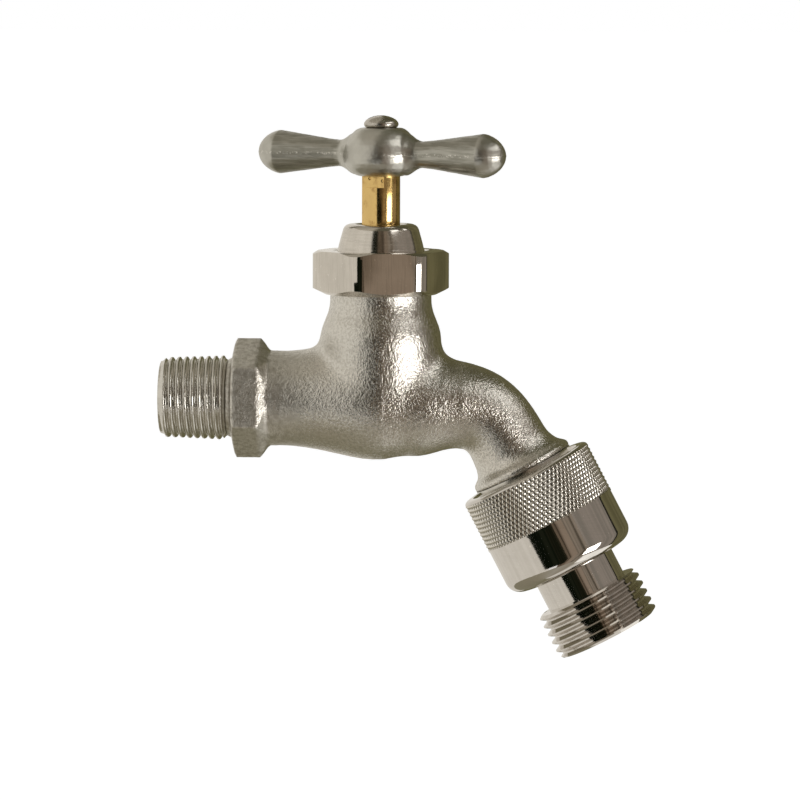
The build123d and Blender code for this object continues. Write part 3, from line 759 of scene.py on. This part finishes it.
def make_finishes():
    return {
        "rough_nickel": cast_nickel(),
        "cut_nickel": cut_nickel(),
        "upright_nickel": bright_nickel("upright_nickel", 0.0, (1, 1, 0.05), POLISHED_NICKEL),
        "turned_nickel": bright_nickel(
            "turned_nickel", 0.0, (0.06, 0.06, 1), POLISHED_NICKEL, dullness=0.12, marking=0.3
        ),
        "breaker_nickel": bright_nickel(
            "breaker_nickel", BREAKER_TILT, (0.06, 0.06, 1), (0.69, 0.66, 0.62, 1), streak=0.985
        ),
        "knurled_nickel": knurled_nickel(),
        "satin_handle": satin_alloy(),
        "bare_brass": bare_brass(),
        "spring_steel": plain_steel(),
        "black_rubber": soft_finish(
            "black_rubber", (0.012, 0.012, 0.012, 1), (0.03, 0.03, 0.03, 1), roughness=0.55, size=0.5
        ),
        "white_plastic": soft_finish(
            "white_plastic", (0.74, 0.73, 0.69, 1), (0.80, 0.79, 0.76, 1), roughness=0.45, size=1.0
        ),
        "red_fibre": soft_finish(
            "red_fibre", (0.28, 0.06, 0.03, 1), (0.42, 0.11, 0.06, 1), roughness=0.75, size=0.4
        ),
    }


# The pieces. Outlines, lengths and radii are in mm.

def make_inlet_thread():
    """The machined inlet thread, with its crests worn down to a faint taper."""
    thread = copy_of("valve_body", "inlet_thread")
    slice_off(thread, Vector((INLET_CUT, 0, 0)), ALONG)
    worn = [(-0.5, 0), (-0.5, 9.0), (0.0, 9.2), (0.8, 9.9), (17.0, 10.5), (17.0, 0)]
    keep_inside(thread, turn_on_inlet("worn_crests", worn, 160))
    melt_together(thread, voxel=0.24, rounds=3)
    smooth_all_over(thread)
    present(thread, "valve", "cut_nickel", "valve_body")


def make_spout_end():
    """The machined lip at the end of the spout."""
    lip = copy_of("valve_body", "spout_end")
    slice_off(lip, BREAKER_TOP + BREAKER_DOWN * SPOUT_CUT, -BREAKER_DOWN)
    smooth(lip, 35)
    present(lip, "valve", "cut_nickel", "valve_body")


def make_casting():
    """The rough casting from the hexagon to the flare above the breaker, with soft junctions."""
    casting = copy_of("valve_body", "casting")
    slice_off(casting, Vector((CASTING_START, 0, 0)), -ALONG)
    slice_off(casting, BREAKER_TOP + BREAKER_DOWN * SPOUT_CUT, BREAKER_DOWN)
    flare = turn_on_breaker(
        "flare",
        [
            (-6.0, 8.2), (-6.0, 10.0), (-4.6, 10.45), (-3.7, 11.1), (-3.0, 12.0), (-2.4, 12.75),
            (-0.97, 12.85), (-0.97, 8.2), (-6.0, 8.2),
        ],
        96,
    )
    hexagon = make_wrench_hexagon()
    join(casting, flare)
    join(casting, hexagon)
    melt_together(casting, voxel=0.42, rounds=4)

    def past_hexagon_below_neck(place, normal):
        above_flare = (place - BREAKER_TOP).dot(BREAKER_DOWN) < -4 * MM
        return place.x > 29 * MM and place.z < 24 * MM and above_flare

    def between_barrel_and_spout(place, normal):
        return 56 * MM < place.x < 75 * MM and place.z < 14 * MM

    soften_where(casting, 100, past_hexagon_below_neck)
    soften_where(casting, 180, between_barrel_and_spout)
    roughen(casting, "sand_coarse", grain=1.1, depth=0.09)
    present(casting, "valve", "rough_nickel", "valve_body")


def make_wrench_hexagon():
    """The hexagon behind the inlet thread: each face drafted towards both ends, corners turned off round."""
    start, end, corner, bore = 18.6, 24.75, 14.8, 7.1
    thread_end, overlap = 16.65, 18.3
    clear_selection()
    bpy.ops.mesh.primitive_cylinder_add(
        vertices=6, radius=corner * MM, depth=(end - start) * MM,
        location=((start + end) / 2 * MM, 0, 0), rotation=(0, QUARTER_TURN, 0),
    )
    block = bpy.context.object
    block.name = "wrench_hexagon"
    settle(block)
    block.rotation_euler = (QUARTER_TURN + HEXAGON_ROLL, 0, 0)
    settle(block)
    for place, way, step, share in ((end, 1, 2.2, 0.914), (start, -1, 0.6, 0.95)):
        start_edit(block)
        pick(block, "FACE", lambda spot, normal: normal.x * way > 0.9)
        bpy.ops.mesh.extrude_region_move(TRANSFORM_OT_translate={"value": (way * step * MM, 0, 0)})
        bpy.ops.transform.resize(value=(1, share, share), center_override=((place + way * step) * MM, 0, 0))
        end_edit()
    round_ends = [
        (17.5, 0), (17.5, 8.5), (18.0, 9.9), (18.45, 13.6), (18.9, 15.3), (24.4, 15.3), (24.9, 14.75),
        (26.95, 11.75), (28.2, 11.75), (28.2, 0),
    ]
    keep_inside(block, turn_on_inlet("hexagon_ends", round_ends))
    cut(block, turn_on_inlet("inlet_bore", [(15, 0), (15, bore), (29, bore), (29, 0)]))
    neck = [(thread_end, bore), (thread_end, 9.6), (overlap, 9.9), (overlap, bore), (thread_end, bore)]
    join(block, turn_on_inlet("inlet_neck", neck))
    return block


def make_nut():
    """Hexagon cap nut with rounded corners and lens chamfers at both ends."""
    bottom, top, flats = 26.0, 36.7, 30.5
    thread, opening = 12.63, 10.85
    corner = flats / math.sqrt(3)
    clear_selection()
    bpy.ops.mesh.primitive_cylinder_add(
        vertices=6, radius=corner * MM, depth=(top - bottom) * MM,
        location=STEM_AXIS + UP * ((bottom + top) / 2 * MM), rotation=(0, 0, NUT_TURN + math.radians(30)),
    )
    nut = bpy.context.object
    nut.name = "bonnet_nut_hexagon"
    settle(nut)
    start_edit(nut)
    pick(nut, "EDGE", lambda place, way: abs(way.normalized().z) > 0.9)
    bpy.ops.mesh.bevel(offset=2.5 * MM, offset_type="OFFSET", segments=10)
    end_edit()
    lens = [
        (bottom - 0.01, 0), (bottom - 0.01, corner - 3.9), (bottom + 1.9, corner), (top - 1.2, corner),
        (top + 0.01, corner - 2.0), (top + 0.01, 0),
    ]
    keep_inside(nut, turn_on_stem("nut_lens", lens, 192))
    bore = [
        (bottom - 1, 0), (bottom - 1, thread), (top - 2.0, thread), (top - 2.0, opening),
        (top + 1, opening), (top + 1, 0),
    ]
    cut(nut, turn_on_stem("nut_bore", bore, 128))
    weld(nut)
    ease_edges(nut, 0.16, 25)
    smooth(nut, 30)
    present(nut, "valve", "upright_nickel", "bonnet_nut")


def make_bonnet():
    """Turned bonnet: a tapered top that stands out of the nut, and the threaded foot as made."""
    joint, bore = 35.2, 4.75
    foot = copy_of("bonnet", "bonnet_foot")
    slice_off(foot, on_stem(joint), UP)
    smooth(foot, 35)
    present(foot, "valve", "turned_nickel", "bonnet")
    outline = [
        (joint, bore), (joint, 10.75), (36.9, 10.75), (37.2, 10.6), (37.6, 10.5),
        (39.0, 10.15), (41.9, 9.35), (42.5, 9.05), (42.95, 8.55), (43.2, 7.9),
        (43.25, 6.4), (43.12, 5.6), (42.8, 4.95), (42.2, bore), (joint, bore),
    ]
    bonnet = turn_on_stem("bonnet_top", outline, 160)
    ease_edges(bonnet, 0.12, 28)
    smooth(bonnet, 35)
    present(bonnet, "valve", "turned_nickel", "bonnet")


def make_stem():
    """Threaded lower stem as made, and the bare brass top with its square."""
    joint, top, radius = 41.0, 55.6, 4.7
    lower = copy_of("stem", "stem_thread")
    slice_off(lower, on_stem(joint), UP)
    smooth(lower, 35)
    present(lower, "stem_and_handle", "bare_brass", "stem")

    upper = turn_on_stem("stem_top", [(joint, 0), (joint, radius), (top, radius), (top, 0)])
    long_flats = [(-48, 3.73, 43.0), (132, 3.73, 43.0)]
    short_flats = [(-36, 3.1, 52.3), (144, 3.1, 52.3)]
    width, thick, tall = 20, 10, 20
    for azimuth, depth, foot in long_flats + short_flats:
        place = STEM_AXIS + (level_way(azimuth) * (depth + thick / 2) + UP * (foot + tall / 2)) * MM
        cut(upper, add_block(place, math.radians(azimuth), (width, thick, tall)))
    face = level_way(-36)
    for sideways, height in ((-1.1, 54.5), (3.0, 54.0)):
        clear_selection()
        place = STEM_AXIS + (face * 3.4 + face.cross(-UP) * sideways + UP * height) * MM
        bpy.ops.mesh.primitive_uv_sphere_add(segments=24, ring_count=12, radius=0.55 * MM, location=place)
        dent = bpy.context.object
        settle(dent)
        cut(upper, dent)
    ease_edges(upper, 0.15, 35)
    smooth(upper, 30)
    present(upper, "stem_and_handle", "bare_brass", "stem")

    square = add_block(on_stem(59.85), HANDLE_TURN, (7.4, 7.4, 9.3))
    square.name = "stem_square"
    ease_edges(square, 0.5, 30, segments=3)
    smooth(square, 30)
    present(square, "stem_and_handle", "bare_brass", "stem")


def make_handle():
    """T handle: a hub flat above and below, and two clubs that swell towards round ends."""
    hub = [
        (55.0, 0), (55.0, 4.7), (55.15, 5.7), (55.55, 6.7), (56.2, 7.65), (57.1, 8.45), (58.3, 9.05),
        (59.6, 9.3), (61.2, 9.16), (62.8, 8.73), (64.2, 8.07), (65.3, 7.32), (66.1, 6.55), (66.6, 5.85),
        (66.85, 5.2), (66.9, 4.6), (66.9, 0),
    ]
    club = [
        (2.0, 0), (2.0, 5.2), (7.2, 5.2), (8.0, 4.75), (8.8, 4.2), (9.6, 3.75), (10.4, 3.4), (11.4, 3.25),
        (14.5, 3.55), (27.85, 5.4), (28.8, 5.2), (29.8, 4.82), (30.8, 4.27), (31.7, 3.58), (32.5, 2.73),
        (33.05, 1.85), (33.35, 0.9), (33.4, 0),
    ]
    handle = turn_on_stem("handle_casting", hub)
    start = STEM_AXIS + UP * SEAM_HEIGHT
    arms = [lathe("arm", club, start, way, UP, 72) for way in (ARM_WAY, -ARM_WAY)]
    for arm in arms:
        join(handle, arm)
    melt_together(handle, voxel=0.26, rounds=2)

    half_width, rise = 0.2 * MM, 0.07 * MM
    filed_start, filed_end = 45 * MM, 54 * MM

    def on_seam(place, normal):
        return abs(place.z - SEAM_HEIGHT) < half_width and not filed_start < place.x < filed_end

    start_edit(handle)
    pick(handle, "VERT", on_seam)
    bpy.ops.transform.shrink_fatten(value=rise)
    end_edit()
    roughen(handle, "die_skin", grain=1.8, depth=0.08)
    present(handle, "stem_and_handle", "satin_handle", "handle")


def make_handle_screw():
    """Domed screw with a slot across its head."""
    outline = [
        (60.0, 0), (60.0, 2.0), (66.7, 2.0), (66.95, 3.7), (67.25, 4.1), (67.7, 4.3), (68.2, 4.2),
        (68.8, 3.75), (69.3, 3.0), (69.7, 2.0), (69.92, 1.0), (70.0, 0),
    ]
    screw = turn_on_stem("handle_screw_head", outline)
    ease_edges(screw, 0.2, 35)
    cut(screw, add_block(on_stem(70.1), math.radians(12), (10, 1.1, 2.0)))
    smooth(screw, 35)
    present(screw, "stem_and_handle", "spring_steel", "handle_screw")


def make_collar():
    """The turned shell of the swivel collar, with a seat for the knurl."""
    shell = turn_on_breaker(
        "collar_shell",
        [
            (0.8, 13.55), (0.0, 14.3), (0.0, 15.9), (0.12, 16.3), (0.4, 16.7), (0.75, 16.9), (0.85, 16.5),
            (12.9, 16.5), (13.05, 16.95), (13.6, 16.95), (13.6, 14.6), (17.3, 14.6), (17.3, 13.5),
            (13.2, 13.5), (13.2, 6.25), (11.0, 6.25), (11.0, 13.55), (0.8, 13.55),
        ],
        160,
    )
    smooth(shell, 35)
    present(shell, "valve", "breaker_nickel", "breaker_collar")


def make_knurl():
    """A sleeve of raised diamonds, made at the origin and then set on the collar."""
    count, rows, rise, tall = 90, 7, 0.44 * MM, 1.11 * MM
    ends = (0.75 * MM, 13.05 * MM)
    hem, inner_skin = 0.97, 16.44 * MM
    step = 2 * math.pi / count
    half = KNURL_FOOT * math.tan(step / 2)
    first = Vector((KNURL_FOOT, 0, 0.05 * MM))
    clear_selection()
    bpy.ops.mesh.primitive_grid_add(
        x_subdivisions=4, y_subdivisions=4, size=half * math.sqrt(2), rotation=(0, QUARTER_TURN, 0)
    )
    knurl = bpy.context.object
    knurl.name = "collar_knurl"
    settle(knurl)
    knurl.rotation_euler = (math.radians(45), 0, 0)
    settle(knurl)
    knurl.scale = (1, 1, tall / half)
    knurl.location = first
    settle(knurl)

    def rings_from_middle(place):
        across, along = (place.y - first.y) / half, (place.z - first.z) / tall
        return sorted(round(abs(part) * 2) for part in (across + along, across - along))

    start_edit(knurl)
    for inner, outer in ((0, 0), (0, 1), (1, 1)):
        pick(knurl, "VERT", lambda place, normal: rings_from_middle(place) == [inner, outer])
        height = rise * (1 - (inner / 2) ** 1.7) * (1 - (outer / 2) ** 1.7)
        bpy.ops.transform.translate(value=(height, 0, 0))
    bpy.ops.mesh.select_mode(type="FACE")
    bpy.ops.mesh.select_all(action="SELECT")
    bpy.ops.mesh.spin(steps=1, angle=step / 2, center=ORIGIN, axis=UP, dupli=True)
    bpy.ops.transform.translate(value=(0, 0, tall))
    end_edit()
    modify(
        knurl, "ARRAY", count=rows, use_relative_offset=False, use_constant_offset=True,
        constant_offset_displace=(0, 0, 2 * tall),
    )
    start_edit(knurl)
    bpy.ops.mesh.select_all(action="SELECT")
    bpy.ops.mesh.spin(steps=count - 1, angle=2 * math.pi - step, center=ORIGIN, axis=UP, dupli=True)
    end_edit()
    weld(knurl, 0.03 * MM)
    start_edit(knurl)
    bpy.ops.mesh.select_all(action="SELECT")
    bpy.ops.mesh.bisect(plane_co=(0, 0, ends[0]), plane_no=UP, clear_inner=True)
    bpy.ops.mesh.select_all(action="SELECT")
    bpy.ops.mesh.bisect(plane_co=(0, 0, ends[1]), plane_no=UP, clear_outer=True)
    for end in ends:
        pick(knurl, "EDGE", lambda place, way: abs(place.z - end) < TOUCHING and abs(way.z) < LEVEL)
        bpy.ops.mesh.extrude_edges_move()
        bpy.ops.transform.resize(value=(hem, hem, 1), center_override=(0, 0, end))
    pick(knurl, "EDGE", lambda place, way: place.xy.length < inner_skin and abs(way.z) < LEVEL)
    bpy.ops.mesh.bridge_edge_loops()
    end_edit()
    weld(knurl)
    knurl.matrix_world = BREAKER_FRAME
    settle(knurl)
    smooth(knurl, 62)
    present(knurl, "valve", "knurled_nickel", "breaker_collar")


def make_outlet():
    """Cup, neck and hose thread in one piece, with shading that keeps its flats even."""
    outlet = copy_of("breaker_outlet", "outlet_cup")
    smooth(outlet, 30)
    modify(outlet, "WEIGHTED_NORMAL", keep_sharp=True, weight=90)
    present(outlet, "valve", "breaker_nickel", "breaker_outlet")


def finish_hidden_pieces():
    """Pieces inside the tap keep their CAD shape and get their own finish."""
    kinds = {
        "red_fibre": ["bonnet_gasket"],
        "bare_brass": ["washer_holder", "seat_washer_screw"],
        "spring_steel": ["locking_screw", "upper_spring", "lower_spring"],
        "white_plastic": ["upper_poppet", "check_seat", "lower_poppet", "lower_guide"],
        "black_rubber": [
            "stem_o_ring", "seat_washer", "spout_washer", "breaker_o_ring", "upper_poppet_seal", "vent_seal",
            "lower_poppet_seal",
        ],
    }
    for finish, names in kinds.items():
        for name in names:
            for slot in nodes[name].material_slots:
                slot.material = finishes[finish]


make_camera()
bpy.context.scene.view_settings.view_transform = "Standard"
make_world()
make_floor()
make_studio()
finishes = make_finishes()
finish_hidden_pieces()
make_inlet_thread()
make_spout_end()
make_casting()
make_nut()
make_bonnet()
make_stem()
make_handle()
make_handle_screw()
make_collar()
make_knurl()
make_outlet()
